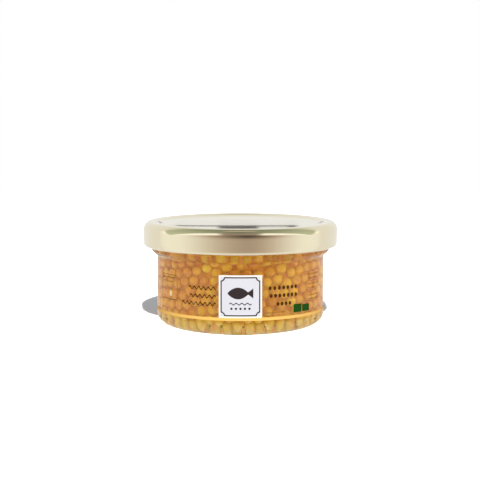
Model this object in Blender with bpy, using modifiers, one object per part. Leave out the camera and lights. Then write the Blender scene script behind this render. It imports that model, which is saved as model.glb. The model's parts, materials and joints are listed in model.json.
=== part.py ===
# A shut jar of salmon roe: a low glass jar packed with pearls of roe, a pressed metal
# twist-off lid and a clear film label round the glass.
# Metres, +Z up, origin on the table under the jar's axis, the label's front towards -Y.
import math
import random

import bmesh
import bpy
from mathutils import Quaternion, Vector

# Driving dimensions, in millimetres
BODY_RADIUS = 31.5        # outside of the glass wall
WALL = 2.4                # glass wall
HEEL_REACH = 8.0          # the outer heel's rounding, inwards
HEEL_HEIGHT = 4.8         # and upwards
FOOT_WIDTH = 2.6          # flat ring that the jar stands on
PUSH_UP = 0.6             # hollow under the base
PUSH_UP_REACH = 4.0       # width of the slope up into it
PUSH_UP_DOME = 0.2        # its middle is this much higher
FLOOR_HEIGHT = 2.2        # inside floor over the table
INNER_HEEL_REACH = 6.0    # the inner heel keeps the glass about as thick as the wall
INNER_HEEL_HEIGHT = 3.8
NECK_START = 26.4         # the wall flares out above this height
NECK_END = 29.0
FINISH_RADIUS = 33.6      # outside of the neck, under the lid
FINISH_BORE = 30.3        # inside of the neck
RIM_HEIGHT = 38.8
RIM_ROUND = 1.2

LID_RADIUS = 36.65        # outside of the skirt, under the shoulder
SKIRT_TAPER = 0.15        # the skirt narrows this much down to the curl
LID_TOP = 39.55           # crest ring round the recessed panel
LID_SHEET = 0.35
CREST_RADIUS = 33.2
CREST_FALL = 0.08         # from the crest to its inner edge
SHOULDER_REACH = 2.6      # rounding from the crest to the skirt
SHOULDER_DROP = 3.3
SHOULDER_SINK = 0.05      # the rounding starts this far below the crest
PANEL_RADIUS = 29.0
PANEL_DROP = 0.8          # the panel's edge below the crest
PANEL_DISH = 0.3          # the vacuum pulls its middle down this much more
RECESS_REACH = 2.6        # sloping step from the panel up to the crest
CURL_RADIUS = 1.05        # rolled lower edge
CURL_CENTRE_HEIGHT = 31.25
CURL_END = -240           # degrees at which the rolled edge meets the skirt's inside
CURL_TUCK = 0.4           # the skirt's inside starts this far above the curl
LUG_COUNT = 4             # pressed inwards from the curl, under the glass thread
LUG_FIRST_ANGLE = 45.0    # degrees from +X
LUG_WIDTH = 11.0
LUG_HEIGHT = 1.0
LUG_TIP_RADIUS = 34.0

LABEL_BOTTOM = 6.4
LABEL_TOP = 22.8
LABEL_FILM = 0.16
GAP = 0.3                 # clearance between touching pieces

PEARL_RADIUS = 2.1
PEARL_SPREAD = 0.06       # share by which a pearl's size varies
PEARL_SHIFT = 0.25        # how far a pearl leaves its even place
RING_PITCH = 4.75         # between rings of pearls, along the glass
PEARL_PITCH = 6.25        # between pearls in a ring
CORE_DEPTH = 0.35         # the core's skin lies this far inside the pearls' centres
HEAP_TOP = 35.6
HEAP_DOME = 0.9           # the hidden top of the heap is a little higher in the middle
SEED = 11

SIDES = 36                # facets round a turned piece
CORE_SIDES = 18           # and round the heap's core, which its pearls hide
CAVITY_STEPS = 4          # facets of each rounding inside the glass
BEND_STEPS = 3            # of a small rounding
HEEL_STEPS = 5
SHOULDER_STEPS = 4
CURL_STEPS = 7
SHARP_ANGLE = 40          # degrees past which an edge stays sharp
FLAT_ANGLE = 0.5          # degrees under which two faces are merged
MERGE = 0.001             # points closer than this, in millimetres, are one
MM = 0.001


def clear_scene():
    for old in list(bpy.data.objects):
        bpy.data.objects.remove(old)


def linear(hex_colour):
    """Linear RGBA of an sRGB hex colour."""
    channels = [int(hex_colour[i:i + 2], 16) / 255 for i in (1, 3, 5)]
    return [c / 12.92 if c <= 0.04045 else ((c + 0.055) / 1.055) ** 2.4 for c in channels] + [1.0]


def principled(name, colour, roughness, metallic=0.0, transmission=0.0, ior=1.5):
    material = bpy.data.materials.new(name)
    material.use_nodes = True
    shader = material.node_tree.nodes["Principled BSDF"]
    shader.inputs["Base Color"].default_value = linear(colour)
    shader.inputs["Roughness"].default_value = roughness
    shader.inputs["Metallic"].default_value = metallic
    shader.inputs["Transmission Weight"].default_value = transmission
    shader.inputs["IOR"].default_value = ior
    return material


def arc(centre, reach, height, start, end, steps):
    """Points of an elliptic arc between two angles in degrees, both ends included."""
    angles = [math.radians(start + (end - start) * i / steps) for i in range(steps + 1)]
    return [(centre[0] + reach * math.cos(a), centre[1] + height * math.sin(a)) for a in angles]


def ease(start, end, steps):
    """Points of an S-shaped step between two points, level with its neighbours at both ends."""
    points = []
    for i in range(steps + 1):
        t = i / steps
        blend = t * t * (3 - 2 * t)
        points.append((start[0] + (end[0] - start[0]) * t, start[1] + (end[1] - start[1]) * blend))
    return points


def flip(points):
    return [(height, radius) for radius, height in points]


def turned(name, profile, material, collection, closed=False, sides=SIDES):
    """Turn a profile of (radius, height) points in millimetres round the Z axis."""
    mesh = bpy.data.meshes.new(name)
    count = len(profile)
    edges = [(i, i + 1) for i in range(count - 1)]
    if closed:
        edges.append((count - 1, 0))
    mesh.from_pydata([(r * MM, 0.0, z * MM) for r, z in profile], edges, [])
    piece = bpy.data.objects.new(name, mesh)
    collection.objects.link(piece)
    mesh.materials.append(material)
    turn = piece.modifiers.new("Turn", "SCREW")
    turn.axis = "Z"
    turn.steps = sides
    turn.render_steps = sides
    turn.use_merge_vertices = True
    turn.merge_threshold = MERGE * MM
    turn.use_smooth_shade = True
    return piece


def made_mesh(piece):
    """The piece as its modifiers leave it, as a plain mesh object."""
    bpy.context.view_layer.update()
    depsgraph = bpy.context.evaluated_depsgraph_get()
    mesh = bpy.data.meshes.new_from_object(piece.evaluated_get(depsgraph))
    piece.modifiers.clear()
    piece.data = mesh
    return piece


def merge_flat_faces(mesh):
    builder = bmesh.new()
    builder.from_mesh(mesh)
    flat = math.radians(FLAT_ANGLE)
    bmesh.ops.dissolve_limit(builder, angle_limit=flat, verts=builder.verts, edges=builder.edges)
    builder.to_mesh(mesh)
    builder.free()


def fuse(piece, extras, solver):
    """Join the objects of a collection to the piece, then remove them."""
    union = piece.modifiers.new("Fuse", "BOOLEAN")
    union.operation = "UNION"
    union.operand_type = "COLLECTION"
    union.collection = extras
    union.solver = solver
    made_mesh(piece)
    piece.data.set_sharp_from_angle(angle=math.radians(SHARP_ANGLE))
    for extra in list(extras.objects):
        bpy.data.objects.remove(extra)
    bpy.data.collections.remove(extras)


def cavity_profile(steps=CAVITY_STEPS):
    """The inside of the glass from the middle of its floor up to the rim."""
    inner = BODY_RADIUS - WALL
    heel_centre = (inner - INNER_HEEL_REACH, FLOOR_HEIGHT + INNER_HEEL_HEIGHT)
    heel = arc(heel_centre, INNER_HEEL_REACH, INNER_HEEL_HEIGHT, -90, 0, steps)
    neck = flip(ease((NECK_START, inner), (NECK_END, FINISH_BORE), steps - 1))
    bore_top = (FINISH_BORE, RIM_HEIGHT - RIM_ROUND)
    return [(0.0, FLOOR_HEIGHT)] + heel + neck + [bore_top]


def jar_profile():
    """Glass section: inner floor, inner wall, rim, outer wall, heel, foot, push-up."""
    rim_reach = (FINISH_RADIUS - FINISH_BORE) / 2
    rim_centre = (FINISH_BORE + rim_reach, RIM_HEIGHT - RIM_ROUND)
    rim = arc(rim_centre, rim_reach, RIM_ROUND, 180, 0, BEND_STEPS)
    neck = flip(ease((NECK_END, FINISH_RADIUS), (NECK_START, BODY_RADIUS), BEND_STEPS))
    foot_radius = BODY_RADIUS - HEEL_REACH
    heel = arc((foot_radius, HEEL_HEIGHT), HEEL_REACH, HEEL_HEIGHT, 0, -90, HEEL_STEPS)
    inner_foot = foot_radius - FOOT_WIDTH
    push_up = ease((inner_foot, 0.0), (inner_foot - PUSH_UP_REACH, PUSH_UP), 2)
    return cavity_profile() + rim[1:] + neck + heel + push_up + [(0.0, PUSH_UP + PUSH_UP_DOME)]


def panel_height(radius):
    """Height of the lid's dished panel, a parabola over its radius."""
    return LID_TOP - PANEL_DROP - PANEL_DISH * (1 - (radius / PANEL_RADIUS) ** 2)


def lid_profile():
    """Lid section: panel, recess, crest, shoulder, skirt and curl outside, then back inside."""
    crest_inner = PANEL_RADIUS + RECESS_REACH
    panel = [(radius, panel_height(radius)) for radius in (0.0, PANEL_RADIUS / 2, PANEL_RADIUS)]
    recess = ease(panel[-1], (crest_inner, LID_TOP - CREST_FALL), BEND_STEPS)
    shoulder_centre = (LID_RADIUS - SHOULDER_REACH, LID_TOP - SHOULDER_SINK - SHOULDER_DROP)
    shoulder = arc(shoulder_centre, SHOULDER_REACH, SHOULDER_DROP, 90, 0, SHOULDER_STEPS)
    skirt_foot = LID_RADIUS - SKIRT_TAPER
    curl_centre = (skirt_foot - CURL_RADIUS, CURL_CENTRE_HEIGHT)
    curl = arc(curl_centre, CURL_RADIUS, CURL_RADIUS, 0, CURL_END, CURL_STEPS)
    outside = panel[:-1] + recess + [(CREST_RADIUS, LID_TOP)] + shoulder + curl
    inside = [(skirt_foot - LID_SHEET, CURL_CENTRE_HEIGHT + CURL_RADIUS + CURL_TUCK)]
    reach, drop = SHOULDER_REACH - LID_SHEET, SHOULDER_DROP - LID_SHEET
    inside += arc(shoulder_centre, reach, drop, 0, 90, BEND_STEPS)
    inside.append((crest_inner, LID_TOP - CREST_FALL - LID_SHEET))
    inside += [(radius, panel_height(radius) - LID_SHEET) for radius in (PANEL_RADIUS, 0.0)]
    return outside + inside


def inset(profile, distance):
    """The profile moved to its left, which is the inside of the jar, by a distance."""
    moved = []
    for i, point in enumerate(profile):
        before = Vector(profile[max(i - 1, 0)])
        after = Vector(profile[min(i + 1, len(profile) - 1)])
        along = (after - before).normalized()
        inwards = Vector((-along.y, along.x))
        moved.append((max(point[0] + inwards.x * distance, 0.0), point[1] + inwards.y * distance))
    return moved


def walk(profile, pitch):
    """Evenly spaced places along a profile up to its end, each with its outward normal.

    The pitch is stretched or shrunk a little, so that a whole number of steps fits.
    """
    length = sum(math.dist(start, end) for start, end in zip(profile, profile[1:]))
    step = length / round(length / pitch)
    places = []
    left = step
    for start, end in zip(profile, profile[1:]):
        start = Vector(start)
        run = Vector(end) - start
        along = run.normalized()
        while left <= run.length + MERGE:
            places.append((start + along * left, Vector((along.y, -along.x))))
            left += step
        left -= run.length
    return places


def heap_core_profile():
    """The heap without its pearls, from the top's middle down to the floor's middle."""
    top = HEAP_TOP - PEARL_RADIUS
    skin = inset(cavity_profile(2), GAP + PEARL_RADIUS + CORE_DEPTH)
    skin = [point for point in skin if point[1] < top]
    edge = (skin[-1][0], top)
    return [(0.0, top + HEAP_DOME)] + [edge] + skin[::-1]


def around(point, angle):
    """A (radius, height) pair turned to an angle round the Z axis."""
    return Vector((point.x * math.cos(angle), point.x * math.sin(angle), point.y))


def pearl_places():
    """Centre, radius and outward direction of each pearl against the glass, in millimetres."""
    chance = random.Random(SEED)
    locus = inset(cavity_profile(), GAP + PEARL_RADIUS)
    locus = [point for point in locus if point[1] < HEAP_TOP - PEARL_RADIUS]
    locus.append((locus[-1][0], HEAP_TOP - PEARL_RADIUS))
    places = [(Vector((0.0, 0.0, locus[0][1])), PEARL_RADIUS, Vector((0.0, 0.0, -1.0)))]
    for ring, (place, outwards) in enumerate(walk(locus, RING_PITCH)):
        count = round(2 * math.pi * place.x / PEARL_PITCH)
        for i in range(count):
            radius = PEARL_RADIUS * (1 + chance.uniform(-PEARL_SPREAD, PEARL_SPREAD))
            shift = chance.uniform(-PEARL_SHIFT, PEARL_SHIFT)
            angle = 2 * math.pi * (i + 0.5 * (ring % 2)) / count + shift / place.x
            centre = around(place + outwards * (PEARL_RADIUS - radius), angle)
            centre.z += chance.uniform(-PEARL_SHIFT, PEARL_SHIFT) * outwards.x
            places.append((centre, radius, around(outwards, angle)))
    return places


def roe(collection, material):
    """The heap of roe: a turned core with the pearls that touch the glass fused on."""
    heap = turned("roe", heap_core_profile(), material, collection, sides=CORE_SIDES)
    made_mesh(heap)
    merge_flat_faces(heap.data)
    chance = random.Random(SEED + 1)
    loose = bpy.data.collections.new("loose_pearls")
    bpy.context.scene.collection.children.link(loose)
    builder = bmesh.new()
    bmesh.ops.create_icosphere(builder, subdivisions=1, radius=MM)
    ball = bpy.data.meshes.new("pearl")
    builder.to_mesh(ball)
    builder.free()
    for centre, radius, outwards in pearl_places():
        pearl = bpy.data.objects.new("pearl", ball)
        spin = Quaternion((0.0, 0.0, 1.0), chance.uniform(0, 2 * math.pi))
        pearl.rotation_mode = "QUATERNION"
        pearl.rotation_quaternion = outwards.to_track_quat("Z", "Y") @ spin
        pearl.location = centre * MM
        pearl.scale = (radius, radius, radius)
        loose.objects.link(pearl)
    fuse(heap, loose, "EXACT")
    return heap


def lid(collection, material):
    """The pressed lid, with its lugs fused to the curl."""
    piece = turned("lid", lid_profile(), material, collection)
    made_mesh(piece)
    lugs = bpy.data.collections.new("lugs")
    bpy.context.scene.collection.children.link(lugs)
    outer = LID_RADIUS - SKIRT_TAPER - CURL_RADIUS
    middle = (LUG_TIP_RADIUS + outer) / 2
    for i in range(LUG_COUNT):
        angle = math.radians(LUG_FIRST_ANGLE + 360 * i / LUG_COUNT)
        bpy.ops.mesh.primitive_cube_add(size=1.0)
        lug = bpy.context.object
        lug.scale = Vector((outer - LUG_TIP_RADIUS, LUG_WIDTH, LUG_HEIGHT)) * MM
        place = (middle * math.cos(angle), middle * math.sin(angle), CURL_CENTRE_HEIGHT)
        lug.location = Vector(place) * MM
        lug.rotation_euler = (0.0, 0.0, angle)
        for owner in list(lug.users_collection):
            owner.objects.unlink(lug)
        lugs.objects.link(lug)
    fuse(piece, lugs, "EXACT")
    return piece


def label(collection, material):
    """The film label, a thin band just outside the glass."""
    inner = BODY_RADIUS + GAP
    outer = inner + LABEL_FILM
    section = [(outer, LABEL_TOP), (outer, LABEL_BOTTOM), (inner, LABEL_BOTTOM), (inner, LABEL_TOP)]
    return turned("label", section, material, collection, closed=True)


def main():
    clear_scene()
    collection = bpy.data.collections.new("salmon_roe_jar")
    bpy.context.scene.collection.children.link(collection)
    glass = principled("clear_glass", "#FBFCFA", 0.02, transmission=1.0, ior=1.52)
    tinplate = principled("gold_tinplate", "#E2DAC0", 0.22, metallic=1.0)
    pearls = principled("roe_pearls", "#C98A2C", 0.3)
    film = principled("label_film", "#E9C48C", 0.35, transmission=0.5)
    turned("jar", jar_profile(), glass, collection)
    lid(collection, tinplate)
    roe(collection, pearls)
    label(collection, film)


main()
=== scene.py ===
# Salmon roe in a low glass jar, with a gold tinplate twist-off lid and a clear film label.
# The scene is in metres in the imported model's frame. Lengths in the dictionaries are millimetres.
import json
import math

import bmesh
import bpy
import numpy as np
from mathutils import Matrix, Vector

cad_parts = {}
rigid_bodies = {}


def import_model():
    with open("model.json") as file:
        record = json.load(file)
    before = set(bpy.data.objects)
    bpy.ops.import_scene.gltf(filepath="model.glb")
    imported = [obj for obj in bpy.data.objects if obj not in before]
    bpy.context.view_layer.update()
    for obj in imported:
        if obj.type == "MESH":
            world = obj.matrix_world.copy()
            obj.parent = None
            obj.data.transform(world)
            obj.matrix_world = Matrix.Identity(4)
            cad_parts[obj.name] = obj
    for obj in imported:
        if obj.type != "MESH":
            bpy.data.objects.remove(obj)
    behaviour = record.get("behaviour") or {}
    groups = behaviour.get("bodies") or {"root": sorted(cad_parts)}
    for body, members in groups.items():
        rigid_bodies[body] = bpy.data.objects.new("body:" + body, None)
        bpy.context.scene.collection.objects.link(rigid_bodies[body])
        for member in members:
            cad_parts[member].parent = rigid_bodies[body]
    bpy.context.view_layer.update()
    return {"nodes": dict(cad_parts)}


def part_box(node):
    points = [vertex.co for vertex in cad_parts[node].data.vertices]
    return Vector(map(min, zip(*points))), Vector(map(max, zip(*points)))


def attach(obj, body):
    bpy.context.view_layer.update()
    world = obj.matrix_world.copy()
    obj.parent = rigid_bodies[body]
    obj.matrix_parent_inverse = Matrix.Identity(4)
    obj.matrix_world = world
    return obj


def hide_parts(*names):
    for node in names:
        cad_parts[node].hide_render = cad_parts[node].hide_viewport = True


for leftover in list(bpy.data.objects):
    bpy.data.objects.remove(leftover)

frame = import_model()

mm = 0.001
tau = 2 * math.pi
jarBox = [np.array(corner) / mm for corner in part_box("jar")]
lidBox = [np.array(corner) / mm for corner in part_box("lid")]
roeBox = [np.array(corner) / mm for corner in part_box("roe")]
labelBox = [np.array(corner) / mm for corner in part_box("label")]
print("frame loaded:", sorted(frame["nodes"]))


# Linear RGBA of an sRGB hex colour
def colour(hexValue):
    parts = np.array([int(hexValue[i:i + 2], 16) for i in (1, 3, 5)]) / 255
    flat = np.where(parts <= 0.04045, parts / 12.92, ((parts + 0.055) / 1.055) ** 2.4)
    return (*[float(value) for value in flat], 1.0)


# Adds one node: its own options, and its sockets as plain values or as links from another output
def addNode(tree, kind, options=None, sockets=None):
    node = tree.nodes.new(kind)
    for option, value in (options or {}).items():
        setattr(node, option, value)
    for socket, value in (sockets or {}).items():
        if isinstance(value, bpy.types.NodeSocket):
            tree.links.new(value, node.inputs[socket])
        else:
            node.inputs[socket].default_value = value
    return node


def newMaterial(name):
    material = bpy.data.materials.new(name)
    material.use_nodes = True
    material.node_tree.nodes.clear()
    return material, material.node_tree


def finishMaterial(material, shader):
    addNode(material.node_tree, "ShaderNodeOutputMaterial", sockets={"Surface": shader})
    return material


# Elliptic arc: centre plus (reach cos a, height sin a), a running between two angles in degrees
def arcPoints(centre, reach, height, start, end, steps):
    angles = np.radians(np.linspace(start, end, steps + 1))
    return np.column_stack([centre[0] + reach * np.cos(angles), centre[1] + height * np.sin(angles)])


# Cubic between two (radius, height) points with a given slope at each end
def easePoints(start, startSlope, end, endSlope, steps):
    t = np.linspace(0, 1, steps + 1)
    run = end[0] - start[0]
    height = ((2 * t**3 - 3 * t**2 + 1) * start[1] + (t**3 - 2 * t**2 + t) * run * startSlope
              + (-2 * t**3 + 3 * t**2) * end[1] + (t**3 - t**2) * run * endSlope)
    return np.column_stack([start[0] + run * t, height])


def linePoints(start, end, steps):
    return np.linspace(start, end, steps + 1)


# Joins stretches of a profile, leaving out points that repeat
def joinProfile(*stretches):
    points = np.vstack([np.atleast_2d(np.array(stretch, float)) for stretch in stretches])
    fresh = np.ones(len(points), bool)
    fresh[1:] = np.linalg.norm(np.diff(points, axis=0), axis=1) > 1e-6
    return points[fresh]


# Puts points in millimetres and quads or triangles into a mesh, and turns it outwards if it is closed
def makePiece(name, points, faces, material, sharpAngle=40, attributes=None):
    mesh = bpy.data.meshes.new(name)
    points = np.asarray(points, float)
    mesh.from_pydata((points * mm).tolist(), [], [list(map(int, face)) for face in faces])
    for key, (kind, values) in (attributes or {}).items():
        layer = mesh.attributes.new(key, kind, "POINT")
        field = "vector" if kind == "FLOAT_VECTOR" else "value"
        layer.data.foreach_set(field, np.ravel(values).astype(np.float32))
    tool = bmesh.new()
    tool.from_mesh(mesh)
    if tool.calc_volume(signed=True) < 0:
        bmesh.ops.reverse_faces(tool, faces=tool.faces)
        tool.to_mesh(mesh)
    tool.free()
    mesh.shade_smooth()
    mesh.set_sharp_from_angle(angle=math.radians(sharpAngle))
    mesh.materials.append(material)
    piece = bpy.data.objects.new(name, mesh)
    bpy.context.scene.collection.objects.link(piece)
    return piece


# Turns a profile round Z: point (angle, j) is (r cos, r sin, z); ends on the axis become one pole each.
# shift(angles, r, z) may return changed radii and heights for the whole grid.
def turnPiece(name, profile, material, sides, loop=False, shift=None, sharpAngle=40):
    profile = np.asarray(profile, float)
    onAxis = profile[:, 0] < 1e-6
    rings = np.flatnonzero(~onAxis)
    angles = np.arange(sides) * tau / sides
    r, z = np.tile(profile[rings].T[:, None], (1, sides, 1))
    if shift is not None:
        r, z = shift(angles[:, None], r, z)
    grid = np.stack([r * np.cos(angles)[:, None], r * np.sin(angles)[:, None], z], axis=-1)
    index = np.arange(sides * len(rings)).reshape(sides, len(rings))
    ahead = np.roll(index, -1, axis=0)
    if loop:
        index, ahead = np.hstack([index, index[:, :1]]), np.hstack([ahead, ahead[:, :1]])
    quads = np.stack([index[:, :-1], ahead[:, :-1], ahead[:, 1:], index[:, 1:]], axis=-1).reshape(-1, 4)
    points, faces = [grid.reshape(-1, 3)], quads.tolist()
    count = sides * len(rings)
    if onAxis[0]:
        points.append([[0, 0, profile[0, 1]]])
        faces += np.stack([np.full(sides, count), ahead[:, 0], index[:, 0]], axis=-1).tolist()
        count += 1
    if onAxis[-1]:
        points.append([[0, 0, profile[-1, 1]]])
        faces += np.stack([np.full(sides, count), index[:, -1], ahead[:, -1]], axis=-1).tolist()
    return makePiece(name, np.vstack(points), faces, material, sharpAngle)


def dress(piece, slot, *nodes):
    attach(piece, "root")
    piece.visible_shadow = slot != "film"
    if nodes:
        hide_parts(*nodes)
    return piece


# Camera: a long lens a little above the lid, as the photograph was taken
camera = {
    "place": (-0.15, -479.6, 83.13),
    "lookDown": 6.08,      # degrees below the horizon
    "lens": 95.6,          # on a 36 mm sensor
}
cameraData = bpy.data.cameras.new("camera")
cameraData.sensor_width = 36
cameraData.lens = camera["lens"]
cameraObject = bpy.data.objects.new("camera", cameraData)
cameraObject.location = np.array(camera["place"]) * mm
cameraObject.rotation_euler = (math.radians(90 - camera["lookDown"]), 0, 0)
bpy.context.scene.collection.objects.link(cameraObject)
bpy.context.scene.camera = cameraObject
bpy.context.scene.view_settings.view_transform = "Standard"
bpy.context.scene.cycles.max_bounces = 24
bpy.context.scene.cycles.transmission_bounces = 24
bpy.context.scene.cycles.transparent_max_bounces = 32


# Plain studio: a white floor, and one lamp high in front
studio = {
    "floorSize": 1400,
    "floor": "#ECECEC",
    "floorBounce": "#6C6C6C",  # as matt things see it
    "floorFill": 0.12,         # stands for a cool fill light that lifts the shadow
    "fillTint": (0.70, 0.87, 1.0, 1.0),
    "keyPower": 4.2,
    "keyHeight": 37.5,         # degrees above the horizon
    "keySide": 3.6,            # degrees to the right of the camera
    "keySize": 5,              # degrees across
    "floorLampPower": 270,
    "floorLampPlace": (35, -624, 496),
    "floorLampRadius": 20,
    # roe passes light on from pearl to pearl, which these soft lamps stand for: they light nothing
    # else, and only the core stops them; each has a power, a height and a side, both in degrees
    "roeLamps": {
        "front": (0.9, 15, 0),
        "left": (1.05, 10, -80),
        "right": (1.35, 10, 80),
        "behind": (1.3, 10, 180),
        "below": (0.15, -70, 0),
    },
    "roeLampSize": 90,
}
roeOnly = bpy.data.collections.new("roe_only")
coreOnly = bpy.data.collections.new("core_only")
floorOnly = bpy.data.collections.new("floor_only")
keyLeavesOut = bpy.data.collections.new("key_leaves_out")


# A lamp that neither reflections nor glass show
def addLamp(name, kind, power):
    lamp = bpy.data.lights.new(name, kind)
    lamp.energy = power
    lampObject = bpy.data.objects.new(name, lamp)
    lampObject.visible_glossy = False
    lampObject.visible_transmission = False
    bpy.context.scene.collection.objects.link(lampObject)
    return lampObject


# A soft sun; its height above the horizon, its side and its size are in degrees
def addSun(name, power, height, side, size):
    sun = addLamp(name, "SUN", power)
    sun.data.angle = math.radians(size)
    sun.rotation_euler = (math.radians(90 - height), 0, math.radians(side))
    return sun


# The key lamp leaves out what has lamps of its own
def leaveOutOfKey(piece):
    keyLeavesOut.objects.link(piece)
    for item in keyLeavesOut.collection_objects:
        item.light_linking.link_state = "EXCLUDE"


# Matt white paper. It is lit more than white, so what it throws back on to matt things is held down.
def makeFloor():
    material, tree = newMaterial("matt_white_paper")
    bounces = addNode(tree, "ShaderNodeLightPath").outputs["Diffuse Depth"]
    tone = addNode(tree, "ShaderNodeMix", {"data_type": "RGBA"}, {
        0: bounces, 6: colour(studio["floor"]), 7: colour(studio["floorBounce"])})
    shader = addNode(tree, "ShaderNodeBsdfPrincipled", sockets={
        "Base Color": tone.outputs[2], "Roughness": 1.0, "Specular IOR Level": 0.0,
        "Emission Color": studio["fillTint"], "Emission Strength": studio["floorFill"]})
    finishMaterial(material, shader.outputs[0])
    half = studio["floorSize"] / 2
    corners = [(-half, -half, 0), (half, -half, 0), (half, half, 0), (-half, half, 0)]
    floor = makePiece("floor", corners, [(0, 1, 2, 3)], material)
    floor.visible_glossy = False
    floor.visible_diffuse = False
    floorOnly.objects.link(floor)
    leaveOutOfKey(floor)


def makeLamps():
    s = studio
    key = addSun("key_lamp", s["keyPower"], s["keyHeight"], s["keySide"], s["keySize"])
    key.light_linking.receiver_collection = keyLeavesOut
    # the floor has a nearer lamp, which widens the shadow and is as strong far off as close by
    near = addLamp("floor_lamp", "POINT", 1.0)
    near.location = np.array(s["floorLampPlace"]) * mm
    near.data.shadow_soft_size = s["floorLampRadius"] * mm
    near.data.use_nodes = True
    tree = near.data.node_tree
    falloff = addNode(tree, "ShaderNodeLightFalloff", sockets={"Strength": s["floorLampPower"]})
    tree.links.new(falloff.outputs["Constant"], tree.nodes["Emission"].inputs["Strength"])
    near.light_linking.receiver_collection = floorOnly
    for name, (power, height, side) in s["roeLamps"].items():
        lamp = addSun("roe_lamp_" + name, power, height, side, s["roeLampSize"])
        lamp.light_linking.receiver_collection = roeOnly
        lamp.light_linking.blocker_collection = coreOnly


makeFloor()
makeLamps()
print("camera, floor and lamps made")


# The room round the jar, as levels of light in each direction (X, Y, Z), a vector of length 1.
# A pair of values is where something starts to show and where it shows in full: in Z, unless a
# note says otherwise. Rise is the height in the plane across the room, Z / sqrt(1 - X^2).
room = {
    "frontHigh": 0.10,         # straight ahead of the lid, above the camera and below it
    "frontLow": 0.50,
    "frontFade": (0.30, -0.30),
    "tableFront": 0.85,
    "tableFrontFade": (-0.28, -0.36),
    "darkShift": 0.16,         # the darkest direction lies a little to the right
    "sidePower": 1.75,         # how fast it gets light to the sides
    "lampGap": 0.34,           # two lamps above the camera, with a dim gap between them
    "lampLight": 1.15,
    "lampFade": (0.26, 0.44),  # in |X|
    "lampLow": (0.51, 0.59),   # in rise, as the next two
    "lampHigh": (1.08, 1.00),
    "ceilingFront": (0.81, 0.87),
    "ceilingBack": (0.60, 0.92),
    "ceiling": 0.20,           # dim overhead, lighter to each side
    "ceilingSide": 0.40,
    "skylight": 0.55,          # a lighter opening straight overhead
    "skylightFade": (0.972, 0.99),
    "behind": (0.2, 0.4),      # in Y
    "wall": 0.86,              # behind: a light wall, then a dark band, then the table
    "band": 0.05,
    "bandTop": math.sin(math.radians(4.67)),
    "bandEnds": (-0.048, 0.042),         # left and right, in X
    "table": 0.78,
    "tableFade": (0.0, -0.02),
    "tableShade": 0.15,
    "shadeFade": (-0.22, -0.34),
    # level, left end and right end in X of each light gap in the band
    "gaps": [(0.85, -0.049, -0.016), (0.75, 0.0135, 0.036)],
    "gapLow": math.sin(math.radians(-2.0)),
    "gapHigh": math.sin(math.radians(4.3)),
    "topSoft": 0.001,          # half the width over which each kind of edge fades
    "gapSoft": 0.002,
    "endSoft": 0.003,
    "warm": (1.0, 0.80, 0.66, 1.0),      # tint of the dark parts
    "cream": (1.0, 0.985, 0.93, 1.0),    # of the light ones
    "olive": (0.92, 1.0, 0.74, 1.0),     # and of the ceiling
    "warmFade": (0.40, 1.0),   # from warm to cream, in the level itself
    "mattShare": 0.6,          # how much of the room lights matt things
}


# Paints levels over a base, one after another: (1 - share) base + share level. The share is the
# product of the level's smooth fades, each given as a measure, where it starts and where it is full.
def paintOver(tree, base, layers):
    for level, *fades in layers:
        share = 1.0
        for measure, start, full in fades:
            share = addNode(tree, "ShaderNodeMapRange", {"interpolation_type": "SMOOTHSTEP"}, {
                "Value": measure, "From Min": start, "From Max": full, "To Max": share}).outputs[0]
        base = addNode(tree, "ShaderNodeMix", sockets={0: share, 2: base, 3: level}).outputs[0]
    return base


# Fades that hold something between two ends of a measure
def heldBetween(measure, low, high, soft):
    return [(measure, low - soft, low + soft), (measure, high + soft, high - soft)]


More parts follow.
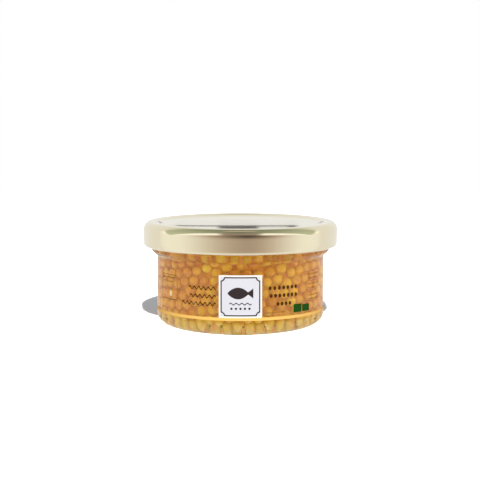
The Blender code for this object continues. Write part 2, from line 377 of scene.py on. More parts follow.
def makeRoom():
    s = room
    world = bpy.data.worlds.new("soft_room")
    bpy.context.scene.world = world
    world.use_nodes = True
    tree = world.node_tree
    tree.nodes.clear()
    direction = addNode(tree, "ShaderNodeTexCoord").outputs["Generated"]
    x, y, z = addNode(tree, "ShaderNodeSeparateXYZ", sockets={0: direction}).outputs
    aside = addNode(tree, "ShaderNodeMath", {"operation": "ABSOLUTE"}, {0: x}).outputs[0]
    # rise is Z / sqrt(1 - X^2), and the root is never taken of less than 0.01
    square = addNode(tree, "ShaderNodeMath", {"operation": "MULTIPLY"}, {0: aside, 1: aside})
    rest = addNode(tree, "ShaderNodeMath", {"operation": "SUBTRACT"}, {0: 1.0, 1: square.outputs[0]})
    rest = addNode(tree, "ShaderNodeMath", {"operation": "MAXIMUM"}, {0: rest.outputs[0], 1: 0.01})
    across = addNode(tree, "ShaderNodeMath", {"operation": "SQRT"}, {0: rest.outputs[0]})
    rise = addNode(tree, "ShaderNodeMath", {"operation": "DIVIDE"}, {0: z, 1: across.outputs[0]}).outputs[0]

    # overhead: level + side |X|, with an opening in its middle
    ceiling = addNode(tree, "ShaderNodeMath", {"operation": "MULTIPLY_ADD"}, {
        0: aside, 1: s["ceilingSide"], 2: s["ceiling"]}).outputs[0]
    ceiling = paintOver(tree, ceiling, [(s["skylight"], (z, *s["skylightFade"]))])

    # in front: straight ahead, mixed with full light by |X - shift (1 - |X|)| ^ power
    middle = paintOver(tree, s["frontHigh"], [
        (s["frontLow"], (z, *s["frontFade"])), (s["tableFront"], (z, *s["tableFrontFade"]))])
    shift = addNode(tree, "ShaderNodeMath", {"operation": "MULTIPLY_ADD"}, {
        0: aside, 1: -s["darkShift"], 2: s["darkShift"]})
    offset = addNode(tree, "ShaderNodeMath", {"operation": "SUBTRACT"}, {0: x, 1: shift.outputs[0]})
    sideways = addNode(tree, "ShaderNodeMath", {"operation": "ABSOLUTE"}, {0: offset.outputs[0]})
    sides = addNode(tree, "ShaderNodeMath", {"operation": "POWER"}, {
        0: sideways.outputs[0], 1: s["sidePower"]})
    front = addNode(tree, "ShaderNodeMix", sockets={0: sides.outputs[0], 2: middle, 3: 1.0}).outputs[0]
    lamps = paintOver(tree, s["lampGap"], [(s["lampLight"], (aside, *s["lampFade"]))])
    front = paintOver(tree, front, [
        (lamps, (rise, *s["lampLow"]), (rise, *s["lampHigh"])), (ceiling, (rise, *s["ceilingFront"]))])

    # behind
    gaps = [(level, *heldBetween(z, s["gapLow"], s["gapHigh"], s["gapSoft"]),
             *heldBetween(x, left, right, s["endSoft"])) for level, left, right in s["gaps"]]
    banded = paintOver(tree, s["band"], [
        (s["wall"], (z, s["bandTop"] - s["topSoft"], s["bandTop"] + s["topSoft"])),
        (s["table"], (z, *s["tableFade"])), (s["tableShade"], (z, *s["shadeFade"])), *gaps])
    back = paintOver(tree, s["wall"], [
        (banded, *heldBetween(x, *s["bandEnds"], s["endSoft"])), (ceiling, (z, *s["ceilingBack"]))])
    around = paintOver(tree, front, [(back, (y, *s["behind"]))])

    # straight from the camera, through glass or not, the room is plain white paper
    path = addNode(tree, "ShaderNodeLightPath").outputs
    bounces = addNode(tree, "ShaderNodeMath", {"operation": "ADD"}, {
        0: path["Diffuse Depth"], 1: path["Glossy Depth"]})
    fresh = addNode(tree, "ShaderNodeMath", {"operation": "LESS_THAN"}, {0: bounces.outputs[0], 1: 0.5})
    through = addNode(tree, "ShaderNodeMath", {"operation": "MULTIPLY"}, {
        0: path["Is Transmission Ray"], 1: fresh.outputs[0]})
    seen = addNode(tree, "ShaderNodeMath", {"operation": "MAXIMUM"}, {
        0: path["Is Camera Ray"], 1: through.outputs[0]})
    matt = addNode(tree, "ShaderNodeMath", {"operation": "MULTIPLY"}, {0: around, 1: s["mattShare"]})
    level = addNode(tree, "ShaderNodeMix", sockets={
        0: path["Is Glossy Ray"], 2: matt.outputs[0], 3: around})
    level = addNode(tree, "ShaderNodeMix", sockets={0: seen.outputs[0], 2: level.outputs[0], 3: 1.0})

    # reflections are warm where the room in front is dark, cream where it is light or behind, and
    # olive in the ceiling; matt things take plain white light
    bright = paintOver(tree, 0.0, [(1.0, (around, *s["warmFade"]))])
    behind = paintOver(tree, 0.0, [(1.0, (y, *s["behind"]))])
    light = addNode(tree, "ShaderNodeMath", {"operation": "MAXIMUM"}, {0: behind, 1: bright}).outputs[0]
    upBack = paintOver(tree, 0.0, [(1.0, (z, *s["ceilingBack"]))])
    up = paintOver(tree, 0.0, [
        (1.0, (rise, *s["ceilingFront"])), (upBack, (y, *s["behind"])), (0.0, (z, *s["skylightFade"]))])
    tint = s["warm"]
    for share, over in ((light, s["cream"]), (up, s["olive"])):
        tint = addNode(tree, "ShaderNodeMix", {"data_type": "RGBA"}, {
            0: share, 6: tint, 7: over}).outputs[2]
    tint = addNode(tree, "ShaderNodeMix", {"data_type": "RGBA"}, {
        0: path["Is Glossy Ray"], 6: (1, 1, 1, 1), 7: tint})
    background = addNode(tree, "ShaderNodeBackground", sockets={
        "Color": tint.outputs[2], "Strength": level.outputs[0]})
    addNode(tree, "ShaderNodeOutputWorld", sockets={"Surface": background.outputs[0]})


makeRoom()
print("room made")


# Lid: pressed tinplate with gold lacquer
lidShape = {
    "sides": 240,
    "sheet": 0.35,
    "crestRadius": 33.2,
    "shoulderReach": 2.6,
    "shoulderDrop": 3.3,
    "shoulderSink": 0.05,       # the shoulder's arc tops out this far below the crest
    "shoulderStart": 84.0,      # degrees; its slope there meets the crest's
    "panelRadius": 29.0,
    "panelDrop": 0.8,
    "panelDish": 0.3,           # the vacuum pulls the panel's middle down
    "recessReach": 2.6,
    "crestFall": 0.08,          # from the crest to the recess
    "crestEndSlope": -0.133,    # where the crest meets the shoulder
    "curlRadius": 1.05,
    "curlEnd": -240,            # degrees
    "curlSlack": 1.02,          # points within this many of its radii belong to the curl
    "curlTuck": 0.4,            # the skirt's inside starts this far above the curl
    "skirtTaper": 0.15,         # the skirt narrows this much down to the curl
    "lugFirstAngle": 45,
    "lugCount": 4,
    "lugWidth": 11.0,
    "lugEdge": 1.6,
    "lugTip": 34.0,
    "dent": 0.3,                # the curl is pressed in a little over each lug
}


# Gold-lacquered tinplate: a satin metal under a clear hard varnish, so it is a sharp mirror when
# seen flat along the panel and a soft one on the skirt. Rolling leaves faint streaks.
def tinplateMaterial():
    material, tree = newMaterial("gold_lacquered_tinplate")
    place = addNode(tree, "ShaderNodeTexCoord").outputs["Object"]
    stretched = addNode(tree, "ShaderNodeMapping", sockets={"Vector": place, "Scale": (60, 60, 900)})
    streaks = addNode(tree, "ShaderNodeTexNoise", sockets={
        "Vector": stretched.outputs[0], "Scale": 1.0, "Detail": 2.0, "Roughness": 0.5})
    rough = addNode(tree, "ShaderNodeMapRange", sockets={
        "Value": streaks.outputs[0], "From Min": 0.3, "From Max": 0.7, "To Min": 0.09, "To Max": 0.15})
    bump = addNode(tree, "ShaderNodeBump", sockets={
        "Height": streaks.outputs[0], "Strength": 0.05, "Distance": 0.0001})
    shader = addNode(tree, "ShaderNodeBsdfPrincipled", sockets={
        "Base Color": colour("#EFE6CB"), "Metallic": 1.0, "Roughness": rough.outputs[0],
        "Normal": bump.outputs[0], "Coat Weight": 1.0, "Coat Roughness": 0.02})
    return finishMaterial(material, shader.outputs[0])


def makeLid():
    s = lidShape
    top, radius = lidBox[1][2], lidBox[1][0]
    panelHeight = top - s["panelDrop"]
    inner = s["panelRadius"] + s["recessReach"]
    panelRadii = np.linspace(0, s["panelRadius"], 15)
    dish = s["panelDish"] * (1 - (panelRadii / s["panelRadius"]) ** 2)
    panel = np.column_stack([panelRadii, panelHeight - dish])
    crestIn = (inner, top - s["crestFall"])
    crestSlope = 2 * s["crestFall"] / (s["crestRadius"] - inner)
    recess = easePoints(panel[-1], 2 * s["panelDish"] / s["panelRadius"], crestIn, crestSlope, 12)
    centre = (radius - s["shoulderReach"], top - s["shoulderSink"] - s["shoulderDrop"])
    shoulder = arcPoints(centre, s["shoulderReach"], s["shoulderDrop"], s["shoulderStart"], 0, 14)
    crest = joinProfile(easePoints(crestIn, crestSlope, (s["crestRadius"], top), 0, 5),
                        easePoints((s["crestRadius"], top), 0, shoulder[0], s["crestEndSlope"], 5))
    skirtFoot = radius - s["skirtTaper"]
    curlCentre = (skirtFoot - s["curlRadius"], lidBox[0][2] + s["curlRadius"])
    curl = arcPoints(curlCentre, s["curlRadius"], s["curlRadius"], 0, s["curlEnd"], 22)
    skirt = linePoints(shoulder[-1], curl[0], 8)
    outside = joinProfile(panel, recess, crest, shoulder, skirt, curl)
    reach, drop = s["shoulderReach"] - s["sheet"], s["shoulderDrop"] - s["sheet"]
    inside = joinProfile([(skirtFoot - s["sheet"], curlCentre[1] + s["curlRadius"] + s["curlTuck"])],
                         arcPoints(centre, reach, drop, 0, 90, 8),
                         [(inner, crestIn[1] - s["sheet"])],
                         [(s["panelRadius"], panelHeight - s["sheet"])],
                         [(0, panelHeight - s["panelDish"] - s["sheet"])])
    profile = joinProfile(outside, inside)

    # near each lug the curl's inner side reaches in to the lug's tip and its outer side is dented
    def pressLugs(angles, r, z):
        pitch = tau / s["lugCount"]
        away = (angles - math.radians(s["lugFirstAngle"]) + pitch / 2) % pitch - pitch / 2
        spare = s["lugWidth"] / 2 + s["lugEdge"] - np.abs(away) * s["lugTip"]
        share = np.clip(spare / s["lugEdge"], 0, 1)
        near = share * share * (3 - 2 * share)
        onCurl = np.hypot(r - curlCentre[0], z - curlCentre[1]) < s["curlRadius"] * s["curlSlack"]
        across = (r - curlCentre[0]) / s["curlRadius"]
        push = np.where(across < 0, -across * (curlCentre[0] - s["curlRadius"] - s["lugTip"]), 0)
        dent = np.where(across > 0, across * s["dent"], 0)
        return r - near * onCurl * (push + dent), z

    lid = turnPiece("lid_fine", profile, tinplateMaterial(), s["sides"], shift=pressLugs, sharpAngle=50)
    return dress(lid, "tinplate", "lid")


makeLid()
print("lid made")


# Jar: pressed soda-lime glass, thick walled, with a rounded heel and a hollow base
jarShape = {
    "sides": 240,
    "bodyRadius": 31.5,
    "wall": 2.4,
    "heelReach": 8.0,
    "heelHeight": 4.8,
    "footWidth": 2.6,
    "pushUp": 0.6,
    "pushUpReach": 4.0,
    "pushUpDome": 0.2,
    "floorHeight": 2.2,
    "innerHeelReach": 6.0,
    "innerHeelHeight": 3.8,
    "neckStart": 26.4,
    "neckEnd": 29.0,
    "bore": 30.3,
    "rimRound": 1.2,
    "poleRing": 4.0,            # innermost ring of points on the floor
    "knurls": 60,               # small bars pressed into the foot
    "knurlHeight": 0.12,
    "knurlMargin": 0.1,         # left flat at each edge of the foot
    "ripple": 0.035,            # unevenness of the pressed wall
    "rippleFade": 3.0,          # towards the heel and the neck
    "brineLevel": 35.5,
    "glassIor": 1.52,
    "brineIor": 1.34,
    "wetDepth": 0.02,           # faces this near the inside of the glass are wetted
}


# Inside of the glass, from the middle of its floor up to the rim
def cavityPoints(steps=10):
    s = jarShape
    inner = s["bodyRadius"] - s["wall"]
    heel = arcPoints((inner - s["innerHeelReach"], s["floorHeight"] + s["innerHeelHeight"]),
                     s["innerHeelReach"], s["innerHeelHeight"], -90, 0, steps)
    neck = easePoints((s["neckStart"], inner), 0, (s["neckEnd"], s["bore"]), 0, steps)[:, ::-1]
    floor = linePoints((s["poleRing"], s["floorHeight"]), heel[0], 6)
    return joinProfile([(0, s["floorHeight"])], floor, heel,
                       linePoints(heel[-1], neck[0], 12), neck,
                       linePoints(neck[-1], (s["bore"], jarBox[1][2] - s["rimRound"]), 6))


# Depth of points inside the glass, and the direction of the nearest glass, from the turned profile
def wallDepth(points, profile):
    r, z = np.hypot(points[:, 0], points[:, 1]), points[:, 2]
    start, run = profile[:-1], np.diff(profile, axis=0)
    offset = np.stack([r, z], axis=1)[:, None] - start[None]
    t = np.clip((offset * run).sum(-1) / (run * run).sum(-1), 0, 1)
    gap = offset - t[..., None] * run
    nearest = np.argmin((gap * gap).sum(-1), axis=1)
    gap, run = gap[np.arange(len(points)), nearest], run[nearest]
    inside = np.where(run[:, 0] * gap[:, 1] - run[:, 1] * gap[:, 0] < 0, -1.0, 1.0)
    distance = np.linalg.norm(gap, axis=1)
    depth = inside * distance
    flat = -gap * (inside / np.maximum(distance, 1e-6))[:, None]
    around = points[:, :2] / np.maximum(r, 1e-6)[:, None]
    return depth, np.column_stack([around * flat[:, :1], flat[:, 1]])


# Soda-lime glass: clear, smooth, a soft green-grey only at its edges; lamps shine straight through it
def glassMaterial(name, ior, tint):
    material, tree = newMaterial(name)
    glass = addNode(tree, "ShaderNodeBsdfPrincipled", sockets={
        "Base Color": colour(tint), "Roughness": 0.0, "IOR": ior, "Transmission Weight": 1.0})
    clear = addNode(tree, "ShaderNodeBsdfTransparent", sockets={"Color": colour(tint)})
    path = addNode(tree, "ShaderNodeLightPath").outputs["Is Shadow Ray"]
    mixed = addNode(tree, "ShaderNodeMixShader", sockets={
        0: path, 1: glass.outputs[0], 2: clear.outputs[0]})
    return finishMaterial(material, mixed.outputs[0])


def makeJar():
    s = jarShape
    finish = jarBox[1][0]
    rimHeight = jarBox[1][2] - s["rimRound"]
    rimReach = (finish - s["bore"]) / 2
    rim = arcPoints((s["bore"] + rimReach, rimHeight), rimReach, s["rimRound"], 180, 0, 14)
    neck = easePoints((s["neckEnd"], finish), 0, (s["neckStart"], s["bodyRadius"]), 0, 12)[:, ::-1]
    footRadius = s["bodyRadius"] - s["heelReach"]
    heel = arcPoints((footRadius, s["heelHeight"]), s["heelReach"], s["heelHeight"], 0, -90, 16)
    innerFoot = footRadius - s["footWidth"]
    pushUp = easePoints((innerFoot, 0), 0, (innerFoot - s["pushUpReach"], s["pushUp"]), 0, 8)
    profile = joinProfile(cavityPoints(), rim, linePoints(rim[-1], neck[0], 8), neck,
                          linePoints(neck[-1], heel[0], 16), heel,
                          linePoints(heel[-1], pushUp[0], 3), pushUp, [(0, s["pushUp"] + s["pushUpDome"])])
    seamCount = len(cavityPoints())

    # the outer wall ripples as the mean of sin(3a + 0.35z) sin(0.24z + 1.1) and sin(5a - 0.5z + 2),
    # and the foot carries its ring of small bars, 0.5 + 0.5 cos(a times their number)
    def moulded(angles, r, z):
        slow = np.sin(3 * angles + 0.35 * z) * np.sin(0.24 * z + 1.1)
        ripple = (slow + np.sin(5 * angles - 0.5 * z + 2.0)) / 2
        outer = np.zeros(r.shape, bool)
        outer[:, seamCount - 1:] = True
        onWall = outer & (z > s["heelHeight"]) & (z < s["neckStart"])
        fade = (np.clip((z - s["heelHeight"]) / s["rippleFade"], 0, 1)
                * np.clip((s["neckStart"] - z) / s["rippleFade"], 0, 1))
        r = r - np.where(onWall, fade * s["ripple"] * (1 + ripple), 0)
        margin = s["knurlMargin"]
        onFoot = (z < 0.001) & (r > innerFoot + margin) & (r < footRadius - margin)
        bars = 0.5 + 0.5 * np.cos(angles * s["knurls"])
        return r, z + np.where(onFoot, s["knurlHeight"] * bars, 0)

    glass = glassMaterial("pressed_soda_lime_glass", s["glassIor"], "#FAFCF6")
    jar = turnPiece("jar_fine", profile, glass, s["sides"], shift=moulded)
    # where brine wets the glass, light bends only by the ratio of the two
    ratio = s["glassIor"] / s["brineIor"]
    jar.data.materials.append(glassMaterial("glass_wet_with_brine", ratio, "#FFFFFF"))
    centres = np.empty(len(jar.data.polygons) * 3)
    jar.data.polygons.foreach_get("center", centres)
    centres = centres.reshape(-1, 3) / mm
    depth, _ = wallDepth(centres, cavityPoints())
    wet = (np.abs(depth) < s["wetDepth"]) & (centres[:, 2] < s["brineLevel"])
    jar.data.polygons.foreach_set("material_index", wet.astype(np.int32))
    return dress(jar, "glass", "jar")


makeJar()
print("jar made")


# Roe: pearls pressed against the glass, a second layer behind them, and a core
roeShape = {
    "radius": 1.95,
    "spread": 0.07,
    "density": 0.93,           # share of the closest packing
    "secondDepth": 3.3,        # how far behind the first layer the second one lies
    "coreDepth": 4.0,          # the core's skin behind the glass of the wall
    "coreFloor": 0.5,          # and over that of the floor
    "coreHeelReach": 5.0,
    "coreHeelHeight": 4.0,
    "flatten": 0.06,           # the glass presses the pearls flatter
    "coreSides": 96,
    "topDome": 0.9,
    "leastRadius": 0.1,        # for the area of the profile's rings near the axis
    "rounds": 90,              # of pushing the pearls apart
    "push": 0.45,              # share of its overlap that a pearl gives way by
    "pushReach": 1.04,         # they push from this many times touching distance
    "startShrink": 0.9,        # first places are drawn in this much towards the base's middle
    "toneSpread": 0.24,
    "dropOutwards": 0.8,       # how much the oil drops lie towards the glass
    "seed": 11,
}


# One layer: points spread over the surface that lies at a depth inside the glass, then pushed apart in
# rounds until their spheres just touch, and brought back to their depth after each push
def packLayer(chance, profile, depth, fixedPoints, fixedRadii, topHeight):
    s = roeShape
    points = profile[profile[:, 1] < topHeight]
    radii = points[:, 0]
    lengths = np.linalg.norm(np.diff(points, axis=0), axis=1)
    areas = tau * np.maximum((radii[1:] + radii[:-1]) / 2 - depth, s["leastRadius"]) * lengths
    count = int(areas.sum() * s["density"] / (2 * math.sqrt(3) * s["radius"] ** 2))
    pick = chance.choice(len(areas), count, p=areas / areas.sum())
    share = chance.random(count)[:, None]
    flat = points[pick] * (1 - share) + points[pick + 1] * share
    angle = chance.random(count) * tau
    places = np.column_stack([flat[:, 0] * np.cos(angle), flat[:, 0] * np.sin(angle), flat[:, 1]])
    places = places * s["startShrink"]
    sizes = s["radius"] * (1 + s["spread"] * np.clip(chance.normal(size=count), -2, 2))
    for _ in range(s["rounds"]):
        everywhere = np.vstack([places, fixedPoints])
        reach = sizes[:, None] + np.concatenate([sizes, fixedRadii])[None]
        offset = places[:, None] - everywhere[None]
        apart = np.linalg.norm(offset, axis=2)
        apart[np.arange(count), np.arange(count)] = 1e9
        push = np.clip(reach * s["pushReach"] - apart, 0, None) / np.maximum(apart, 1e-6)
        places = places + s["push"] * (push[..., None] * offset).sum(1)
        over = places[:, 2] > topHeight
        places[over, 2] = topHeight
        for _ in range(2):
            near, outward = wallDepth(places, profile)
            places = places + outward * (near - (depth - s["radius"] + sizes))[:, None]
    return places, sizes


# Pearls of roe: amber and softly translucent, each of its own tone, with a small oil drop inside.
# Patches of the heap are riper and deeper in colour. Low down a greener yellow is painted in, for the tint
# the thick heel glass gives them.
def pearlMaterial():
    material, tree = newMaterial("salmon_roe_skin")
    tone = addNode(tree, "ShaderNodeAttribute", {"attribute_name": "tone"}).outputs["Fac"]
    spot = addNode(tree, "ShaderNodeAttribute", {"attribute_name": "spot"}).outputs["Vector"]
    point = addNode(tree, "ShaderNodeAttribute", {"attribute_name": "point"}).outputs["Vector"]
    towards = addNode(tree, "ShaderNodeVectorMath", {"operation": "NORMALIZE"}, {0: point}).outputs[0]
    facing = addNode(tree, "ShaderNodeVectorMath", {"operation": "DOT_PRODUCT"}, {0: towards, 1: spot})
    drop = addNode(tree, "ShaderNodeMapRange", {"interpolation_type": "SMOOTHSTEP"}, {
        "Value": facing.outputs["Value"], "From Min": 0.86, "From Max": 0.96, "To Max": 0.7})
    tones = addNode(tree, "ShaderNodeValToRGB", sockets={0: tone})
    ramp = tones.color_ramp
    ramp.elements[0].position, ramp.elements[0].color = 0.0, colour("#DC9A14")
    ramp.elements[1].position, ramp.elements[1].color = 1.0, colour("#F6CE34")
    for position, value in ((0.35, "#E8B21C"), (0.7, "#EFBE24")):
        ramp.elements.new(position).color = colour(value)
    place = addNode(tree, "ShaderNodeTexCoord").outputs["Object"]
    patches = addNode(tree, "ShaderNodeTexNoise", sockets={"Vector": place, "Scale": 75.0, "Detail": 1.0})
    ripe = addNode(tree, "ShaderNodeMapRange", {"interpolation_type": "SMOOTHSTEP"}, {
        "Value": patches.outputs[0], "From Min": 0.46, "From Max": 0.62, "To Max": 0.5})
    # painted tint: towards the floor the pearls turn greener yellow, as the thick heel glass shows them
    height = addNode(tree, "ShaderNodeSeparateXYZ", sockets={0: place}).outputs["Z"]
    low = addNode(tree, "ShaderNodeMapRange", {"interpolation_type": "SMOOTHSTEP"}, {
        "Value": height, "From Min": 8 * mm, "From Max": 5 * mm, "To Max": 0.75})
    mixed = tones.outputs[0]
    for share, over in ((ripe, "#DC8A13"), (low, "#D2AE14"), (drop, "#D98430")):
        mixed = addNode(tree, "ShaderNodeMix", {"data_type": "RGBA"}, {
            0: share.outputs[0], 6: mixed, 7: colour(over)}).outputs[2]
    shader = addNode(tree, "ShaderNodeBsdfPrincipled", sockets={
        "Base Color": mixed, "Roughness": 0.25, "IOR": 1.36, "Subsurface Weight": 0.8,
        "Subsurface Radius": (1.0, 0.6, 0.25), "Subsurface Scale": 0.002})
    return finishMaterial(material, shader.outputs[0])


# Roe deep in the heap: the same amber in softer cells, one to a pearl, with shade painted in, darker from
# each cell's middle out to where the pearls meet
def coreMaterial():
    material, tree = newMaterial("roe_in_depth")
    place = addNode(tree, "ShaderNodeTexCoord").outputs["Object"]
    pearlWidth = 2 * roeShape["radius"] * mm
    shadedCells = addNode(tree, "ShaderNodeTexVoronoi", sockets={"Vector": place, "Scale": 1 / pearlWidth})
    # painted shade: each cell runs from the light amber in its middle to the darker one at its edge, where
    # the pearls meet
    tones = addNode(tree, "ShaderNodeMix", {"data_type": "RGBA"}, {
        0: shadedCells.outputs["Distance"], 6: colour("#EEA820"), 7: colour("#D88C14")})
    # a faint glow stands for the light that the pearls round it pass on
    shader = addNode(tree, "ShaderNodeBsdfPrincipled", sockets={
        "Base Color": tones.outputs[2], "Roughness": 0.5,
        "Emission Color": tones.outputs[2], "Emission Strength": 0.2})
    return finishMaterial(material, shader.outputs[0])


# Roe takes its light from its own lamps and the room, not from the key lamp
def lightRoe(piece):
    roeOnly.objects.link(piece)
    leaveOutOfKey(piece)


def makeRoe():
    s = roeShape
    chance = np.random.default_rng(s["seed"])
    profile = cavityPoints()
    top = roeBox[1][2] - s["topDome"] - s["radius"]
    none = np.zeros((0, 3))
    first, firstSizes = packLayer(chance, profile, s["radius"], none, np.zeros(0), top)
    second, secondSizes = packLayer(chance, profile, s["radius"] + s["secondDepth"], first, firstSizes, top)
    places, sizes = np.vstack([first, second]), np.concatenate([firstSizes, secondSizes])
    print("pearls:", len(first), "+", len(second))
    tool = bmesh.new()
    bmesh.ops.create_icosphere(tool, subdivisions=2, radius=1.0)
    tool.verts.ensure_lookup_table()
    unit = np.array([v.co for v in tool.verts])
    facets = np.array([[v.index for v in f.verts] for f in tool.faces])
    tool.free()
    count = len(places)
    _, outward = wallDepth(places, profile)
    frames = np.linalg.qr(chance.normal(size=(count, 3, 3)))[0]
    turned = np.einsum("nij,vj->nvi", frames, unit)
    along = np.einsum("nvi,ni->nv", turned, outward)
    pressed = turned - s["flatten"] * along[..., None] * outward[:, None]
    shift = outward[:, None] * (s["flatten"] * sizes)[:, None, None]
    points = places[:, None] + pressed * sizes[:, None, None] + shift
    faces = (facets[None] + (np.arange(count) * len(unit))[:, None, None]).reshape(-1, 3)
    spots = chance.normal(size=(count, 3)) + outward * s["dropOutwards"]
    spots /= np.linalg.norm(spots, axis=1)[:, None]
    tones = np.clip(0.5 + s["toneSpread"] * chance.normal(size=count), 0, 1)
    attributes = {
        "tone": ("FLOAT", np.repeat(tones, len(unit))),
        "point": ("FLOAT_VECTOR", turned.reshape(-1, 3)),
        "spot": ("FLOAT_VECTOR", np.repeat(spots, len(unit), axis=0)),
    }
    pearls = makePiece("roe_pearls", points.reshape(-1, 3), faces, pearlMaterial(), 180, attributes)
    lightRoe(dress(pearls, "roe", "roe"))

    j = jarShape
    wall, low = j["bodyRadius"] - j["wall"] - s["coreDepth"], j["floorHeight"] + s["coreFloor"]
    heel = arcPoints((wall - s["coreHeelReach"], low + s["coreHeelHeight"]),
                     s["coreHeelReach"], s["coreHeelHeight"], -90, 0, 12)
    neck = easePoints((j["neckStart"], wall), 0, (j["neckEnd"], j["bore"] - s["coreDepth"]), 0, 8)[:, ::-1]
    core = joinProfile([(0, low)], linePoints((j["poleRing"], low), heel[0], 4), heel,
                       linePoints(heel[-1], neck[0], 8), neck,
                       [(neck[-1, 0], top)], [(0, top + s["topDome"])])
    heart = dress(turnPiece("roe_core", core, coreMaterial(), s["coreSides"]), "roe")
    lightRoe(heart)
    coreOnly.objects.link(heart)


makeRoe()
print("roe made")


# Brine: fills the cavity round the pearls and reaches just into the wall, so no air gap shows
brineShape = {"overlap": 0.05, "sides": 160}


def makeBrine():
    s = brineShape
    profile = cavityPoints(16)
    level = jarShape["brineLevel"]
    profile = profile[profile[:, 1] < level]
    along = np.gradient(profile, axis=0)
    along /= np.linalg.norm(along, axis=1)[:, None]
    skin = profile + np.column_stack([along[:, 1], -along[:, 0]]) * s["overlap"]
    skin[0, 0] = 0
    skin = joinProfile(skin, [(skin[-1, 0], level)], [(0, level)])
    # the wetted glass already bends the light for the brine, whose own skin doesn't
    brine = turnPiece("brine", skin, glassMaterial("golden_brine", 1.0, "#FFF6D8"), s["sides"])
    dress(brine, "roe")


makeBrine()
print("brine made")


# Label: a clear film round the glass, with print that stands a hair's breadth over it
labelShape = {
    "inner": 31.53,
    "film": 0.06,
    "ink": 0.02,
    "lift": 0.005,             # gap under each layer of print
    "sides": 240,
    "stripeHeight": 1.1,
    "squareHalf": 7.8,
    "squareBottom": 7.4,
    "squareMargin": 0.65,
    "bite": 1.3,
    "frameLine": 0.45,
    # what stands in the square, with heights from its middle
    "fish": (-4.6, 1.2, 9.2, 2.1),                      # nose, height, length, half height
    "motifWave": (-4.0, 4.0, -2.6, 0.32, 2.0, 0.4),     # left, right, height, rise, length, line
    "motifDots": (-3.2, 3.2, 5, -4.3, 0.42),            # left, right, count, height, radius
    # rows of print as (left, right, height) along the label, from the middle of its front
    "waveRows": [(-19.8, -8.9, 17.8), (-19.4, -8.9, 14.9), (-23.0, -8.9, 12.15)],
    "wave": (0.5, 1.9, 0.55),            # rise, length, line
    "dotRows": [(10.8, 21.6, 17.9), (11.2, 21.6, 15.1), (13.9, 18.9, 12.1)],
    "dot": (0.6, 0.72),                  # half width, half height
    "dotPitch": 1.8,
    "smallRows": [(9.0, 16.9, 9.1), (-35.2, -26.6, 20.4), (-35.2, -28.0, 18.9), (28.2, 36.6, 21.6),
                  (28.2, 35.0, 20.2), (28.2, 36.6, 18.0), (28.2, 33.5, 16.6), (28.2, 35.6, 13.9),
                  (28.2, 36.0, 12.5)],
    "smallWave": (0.16, 0.9, 0.22),
    "sideBox": (-36.2, -25.6, 12.3, 21.5),
    "sideFrame": (0.4, 0.22),            # bite, line
    "paleSpot": (-29.5, 14.6, 0.8, 1.2),     # u, height, half width, half height
    "greenFields": [(20.6, 24.5, 8.4, 11.4), (24.9, 28.9, 8.4, 11.0)],
    "columnWidth": 0.8,        # of the plain fields, so that they follow the glass
    "grainTone": 0.93,         # of the darker grains in the ink
}


# Printed ink: flat and matt, with the film's faint unevenness
def inkMaterial(name, hexValue):
    material, tree = newMaterial(name)
    place = addNode(tree, "ShaderNodeTexCoord").outputs["Object"]
    grain = addNode(tree, "ShaderNodeTexNoise", sockets={"Vector": place, "Scale": 2500.0, "Detail": 2.0})
    base = colour(hexValue)
    darker = tuple([c * labelShape["grainTone"] for c in base[:3]] + [1.0])
    tones = addNode(tree, "ShaderNodeMix", {"data_type": "RGBA"}, {0: grain.outputs[0], 6: base, 7: darker})
    shader = addNode(tree, "ShaderNodeBsdfPrincipled", sockets={
        "Base Color": tones.outputs[2], "Roughness": 0.5, "Specular IOR Level": 0.1})
    return finishMaterial(material, shader.outputs[0])


# Clear polypropylene film: nearly invisible, a warm haze and a soft shine
def filmMaterial():
    material, tree = newMaterial("clear_label_film")
    shader = addNode(tree, "ShaderNodeBsdfPrincipled", sockets={
        "Base Color": colour("#F2CC84"), "Roughness": 0.35, "Alpha": 0.03, "Specular IOR Level": 0.2})
    return finishMaterial(material, shader.outputs[0])


# A thin slab wrapped round the jar: u runs along the label and z up it, both as whole grids in
# millimetres, and the point at (u, z) is (R sin(u / R), -R cos(u / R), z) for the slab's two radii
def wrapSlab(u, z, low, high, closed=False):
    u, z = np.asarray(u, float), np.asarray(z, float)
    rows, columns = u.shape
    below = rows * columns
    layers = [np.stack([radius * np.sin(u / radius), -radius * np.cos(u / radius), z], axis=-1)
              for radius in (high, low)]
    index = np.arange(below).reshape(rows, columns)
    if closed:
        index = np.vstack([index, index[:1]])
    outer = np.stack([index[:-1, :-1], index[1:, :-1], index[1:, 1:], index[:-1, 1:]], axis=-1)
    outer = outer.reshape(-1, 4)
    under = outer[:, ::-1] + below
    edges = [index[:, 0][::-1], index[:, -1]]
    if not closed:
        edges += [index[0, :], index[-1, :][::-1]]
    walls = [np.stack([e[:-1], e[1:], e[1:] + below, e[:-1] + below], axis=-1) for e in edges]
    return np.stack(layers).reshape(-1, 3), np.vstack([outer, under, *walls])


# Joins several slabs into one mesh piece
def printPiece(name, slabs, material):
    points, faces, count = [], [], 0
    for slabPoints, slabFaces in slabs:
        points.append(slabPoints)
        faces.append(slabFaces + count)
        count += len(slabPoints)
    piece = makePiece(name, np.vstack(points), np.vstack(faces), material, 30)
    return dress(piece, "film")


# A plain field from corner to corner
def fieldSlab(left, right, bottom, top, low, high):
    columns = max(int((right - left) / labelShape["columnWidth"]), 2)
    u, z = np.meshgrid(np.linspace(left, right, columns), [bottom, top], indexing="ij")
    return wrapSlab(u, z, low, high)


# Strip whose lower and upper edges are functions of u
def stripSlab(u, lower, upper, low, high):
    return wrapSlab(np.column_stack([u, u]), np.column_stack([lower, upper]), low, high)


# A row of little waves: z = height + rise sin(2 pi u / length)
def waveSlab(left, right, height, rise, length, line, low, high):
    u = np.linspace(left, right, max(int((right - left) / length * 10), 4))
    middle = height + rise * np.sin(tau * (u - left) / length)
    return stripSlab(u, middle - line / 2, middle + line / 2, low, high)


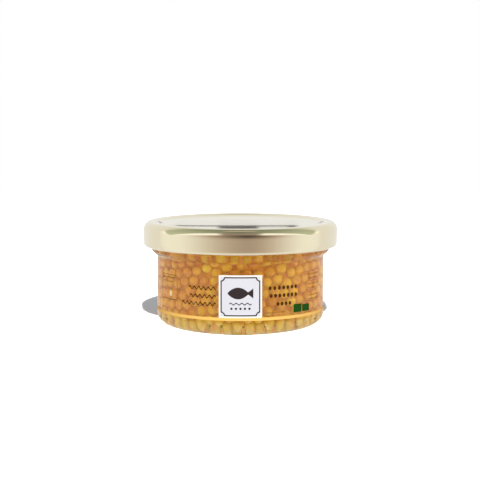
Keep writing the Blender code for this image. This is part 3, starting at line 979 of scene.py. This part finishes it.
# An oval spot: half its height is (1 - (u / reach)^2) ^ 0.5 of its full half height
def spotSlab(centre, height, reach, half, low, high):
    turn = np.linspace(0, math.pi, 11)
    tall = np.maximum(half * np.sin(turn), 0.02)
    u = centre - reach * np.cos(turn)
    return stripSlab(u, height - tall, height + tall, low, high)


# Outline of a frame whose corners are bitten off by arcs of one radius; inset moves it inwards
def bittenOutline(halfWidth, halfHeight, bite, inset):
    radius = bite + inset
    start, end = 1.5 * math.pi - math.asin(inset / radius), math.pi + math.asin(inset / radius)
    turn = np.linspace(start, end, 9)
    corner = np.column_stack([halfWidth + radius * np.cos(turn), halfHeight + radius * np.sin(turn)])
    corners = [corner, (corner * [-1, 1])[::-1], corner * [-1, -1], (corner * [1, -1])[::-1]]
    share = np.linspace(0, 1, 13)[1:-1, None]
    following = corners[1:] + corners[:1]
    edges = [first[-1] * (1 - share) + second[0] * share for first, second in zip(corners, following)]
    return np.vstack([part for pair in zip(corners, edges) for part in pair])


def frameSlab(centre, height, halfWidth, halfHeight, bite, line, low, high):
    outer = bittenOutline(halfWidth, halfHeight, bite, 0.0) + [centre, height]
    inner = bittenOutline(halfWidth, halfHeight, bite, line) + [centre, height]
    pairs = np.stack([outer, inner], axis=-1)
    return wrapSlab(pairs[:, 0], pairs[:, 1], low, high, closed=True)


# A plain fish: its body's half height is tall sin(pi s / 0.82) ^ 0.75 at a share s of its length,
# and its tail opens in a straight wedge from s = 0.74 to 0.85 of that height at its end
def fishSlab(nose, height, length, tall, low, high):
    share = np.linspace(0, 1, 41)
    body = tall * np.sin(math.pi * np.clip(share / 0.82, 0, 1)) ** 0.75
    tail = tall * 0.85 * np.clip((share - 0.74) / 0.26, 0, 1)
    half = np.maximum(np.maximum(body, tail), 0.03)
    return stripSlab(nose + share * length, height - half, height + half, low, high)


def makeLabel():
    s = labelShape
    bottom, top = labelBox[0][2], labelBox[1][2]
    outer = s["inner"] + s["film"]
    layers = [(outer + s["lift"], outer + s["ink"])]
    for _ in range(3):
        base = layers[-1][1] + s["lift"]
        layers.append((base, base + s["ink"]))
    ink, over, uppermost, raised = layers
    band = [(outer, top), (outer, bottom), (s["inner"], bottom), (s["inner"], top)]
    film = turnPiece("label_film", band, filmMaterial(), s["sides"], loop=True)
    dress(film, "film", "label")
    stripeTop = bottom + s["stripeHeight"]
    stripe = [(ink[1], stripeTop), (ink[1], bottom), (ink[0], bottom), (ink[0], stripeTop)]
    peach = inkMaterial("peach_gold_ink", "#EEBC62")
    dress(turnPiece("label_stripe", stripe, peach, s["sides"], loop=True), "film")

    white = inkMaterial("opaque_white_ink", "#E4E1DA")
    half, middle = s["squareHalf"], (s["squareBottom"] + top) / 2
    printPiece("label_square", [fieldSlab(-half, half, s["squareBottom"], top, *over)], white)
    inset = s["squareMargin"]
    field = fieldSlab(-half + inset, half - inset, s["squareBottom"] + inset, top - inset, *uppermost)
    printPiece("label_square_field", [field], inkMaterial("pale_grey_ink", "#CDCCD2"))
    tall = (top - s["squareBottom"]) / 2 - inset
    motif = [frameSlab(0, middle, half - inset, tall, s["bite"], s["frameLine"], *raised)]
    nose, height, *body = s["fish"]
    motif.append(fishSlab(nose, middle + height, *body, *raised))
    left, right, height, *wave = s["motifWave"]
    motif.append(waveSlab(left, right, middle + height, *wave, *raised))
    left, right, count, height, radius = s["motifDots"]
    motif += [spotSlab(u, middle + height, radius, radius, *raised)
              for u in np.linspace(left, right, count)]
    printPiece("label_motif", motif, inkMaterial("black_brown_ink", "#332B2C"))

    brown = inkMaterial("brown_ink", "#4E2E0C")
    rows = [waveSlab(left, right, z, *s["wave"], *ink) for left, right, z in s["waveRows"]]
    printPiece("label_wave_rows", rows, brown)
    dots = [spotSlab(u, z, *s["dot"], *ink) for left, right, z in s["dotRows"]
            for u in np.linspace(left, right, round((right - left) / s["dotPitch"]) + 1)]
    printPiece("label_dot_rows", dots, brown)
    faint = inkMaterial("faint_brown_ink", "#86602A")
    small = [waveSlab(left, right, z, *s["smallWave"], *ink) for left, right, z in s["smallRows"]]
    left, right, low, high = s["sideBox"]
    small.append(frameSlab((left + right) / 2, (low + high) / 2, (right - left) / 2, (high - low) / 2,
                           *s["sideFrame"], *ink))
    printPiece("label_small_rows", small, faint)
    # a small pale cream oval in the side box
    spot = spotSlab(*s["paleSpot"], *ink)
    printPiece("label_pale_spot", [spot], inkMaterial("pale_cream_spot", "#EBD49A"))
    fields = [fieldSlab(left, right, low, high, *ink) for left, right, low, high in s["greenFields"]]
    printPiece("label_green_fields", fields, inkMaterial("leaf_green_ink", "#124608"))


makeLabel()
print("label made")
